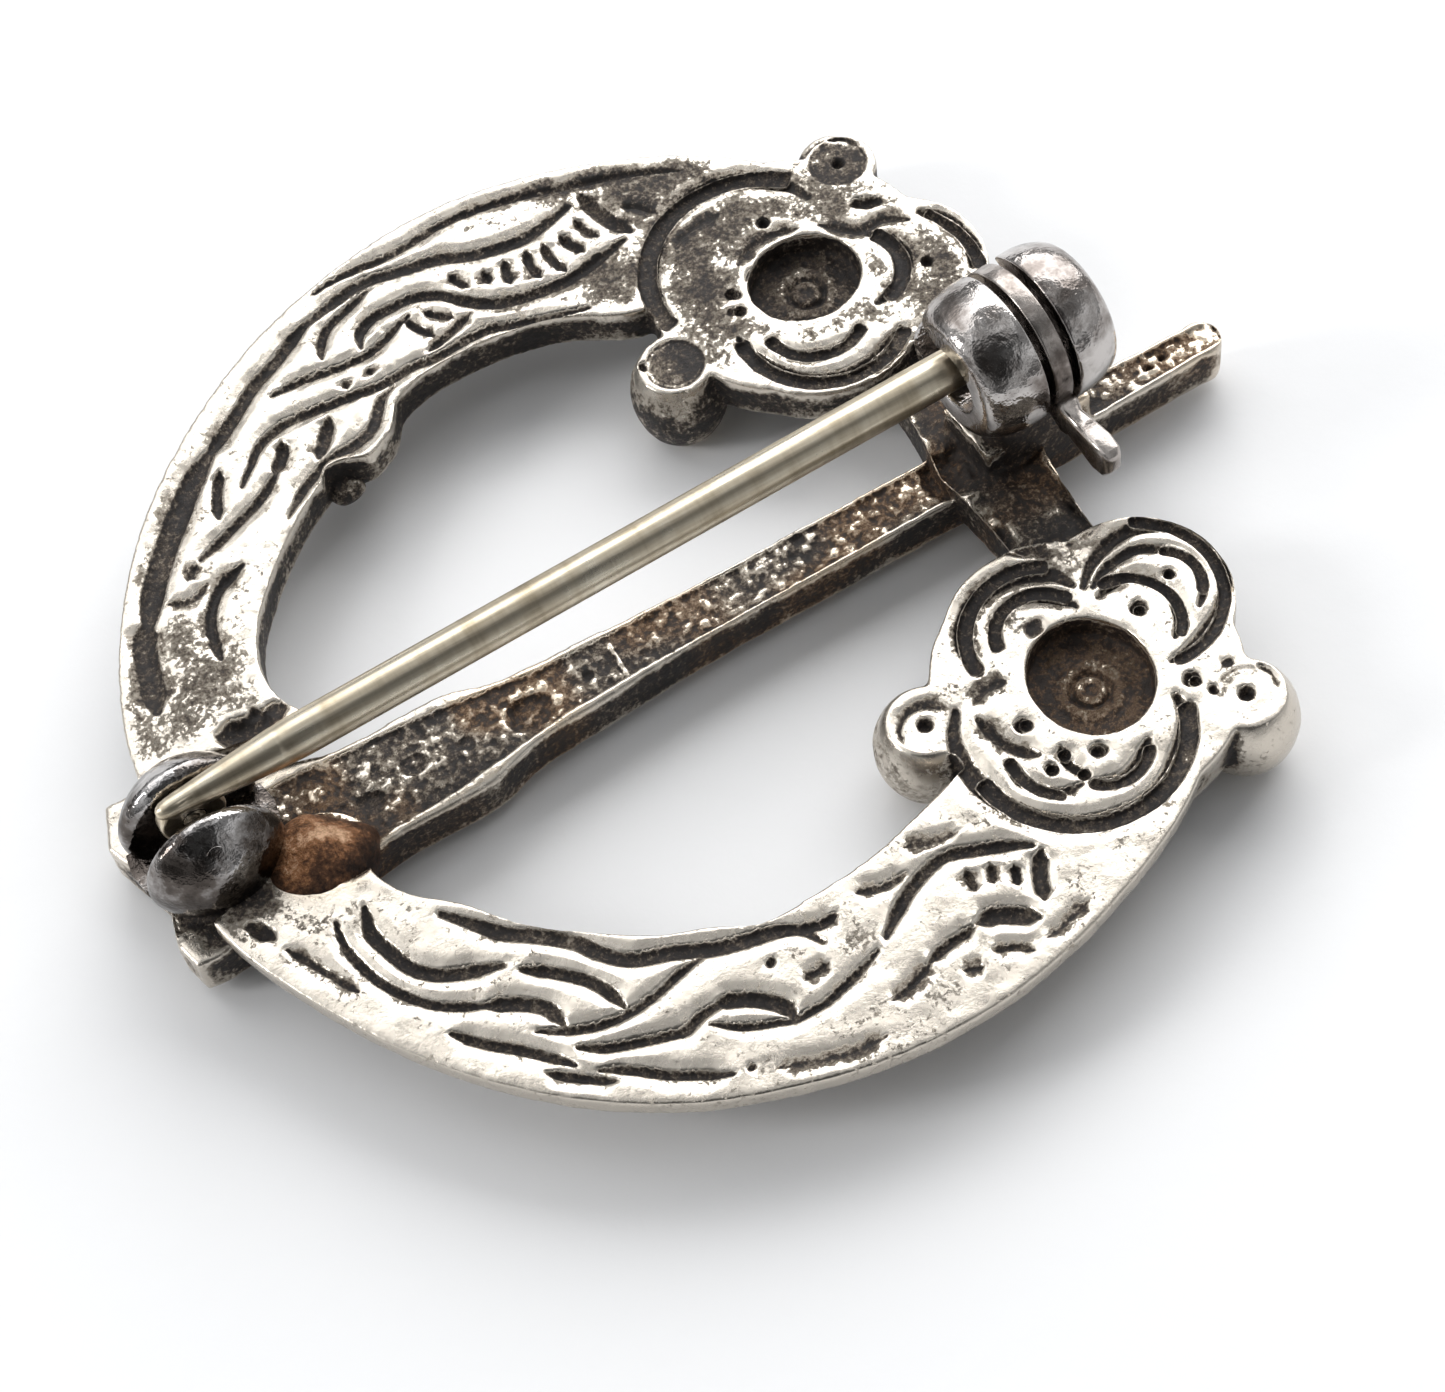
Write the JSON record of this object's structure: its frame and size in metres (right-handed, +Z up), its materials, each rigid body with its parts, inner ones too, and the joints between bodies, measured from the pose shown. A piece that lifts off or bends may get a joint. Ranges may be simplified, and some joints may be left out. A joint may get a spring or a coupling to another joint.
{
  "type": "silver penannular brooch",
  "caption": "Cast silver penannular brooch with interlace relief, bossed terminals, a centre bar, and a hinged pin held by a turning safety catch.",
  "frame": {"origin": "centre of the brooch's plan, on the table that it lies on", "axes": "+X along the centre bar from the hinge to the bar's tip, +Z up out of the brooch's back, which faces up as it lies"},
  "size_m": [0.0406, 0.0368, 0.0095],
  "materials": {
    "cast_silver": "worn cast silver with dark tarnish in the hollows",
    "polished_silver": "polished silver with light handling marks",
    "pin_wire": "drawn wire of warm grey metal"
  },
  "bodies": {
    "body": {"brooch_body": "cast_silver", "hinge_rivet": "polished_silver"},
    "pin": {"pin_stem": "pin_wire"},
    "rotor": {"catch_rotor": "polished_silver"}
  },
  "joints": [
    {"name": "pin_hinge", "type": "hinge", "parent": "body", "child": "pin", "pos_m": [-0.0174, -0.00062, 0.00545], "axis": [0.0314, -0.9995, 0], "range_deg": [0, 105]},
    {"name": "catch_turn", "type": "hinge", "parent": "body", "child": "rotor", "pos_m": [0.0128, 0.00015, 0.00684], "axis": [-0.9962, -0.0872, 0], "range_deg": [0, 215]}
  ]
}
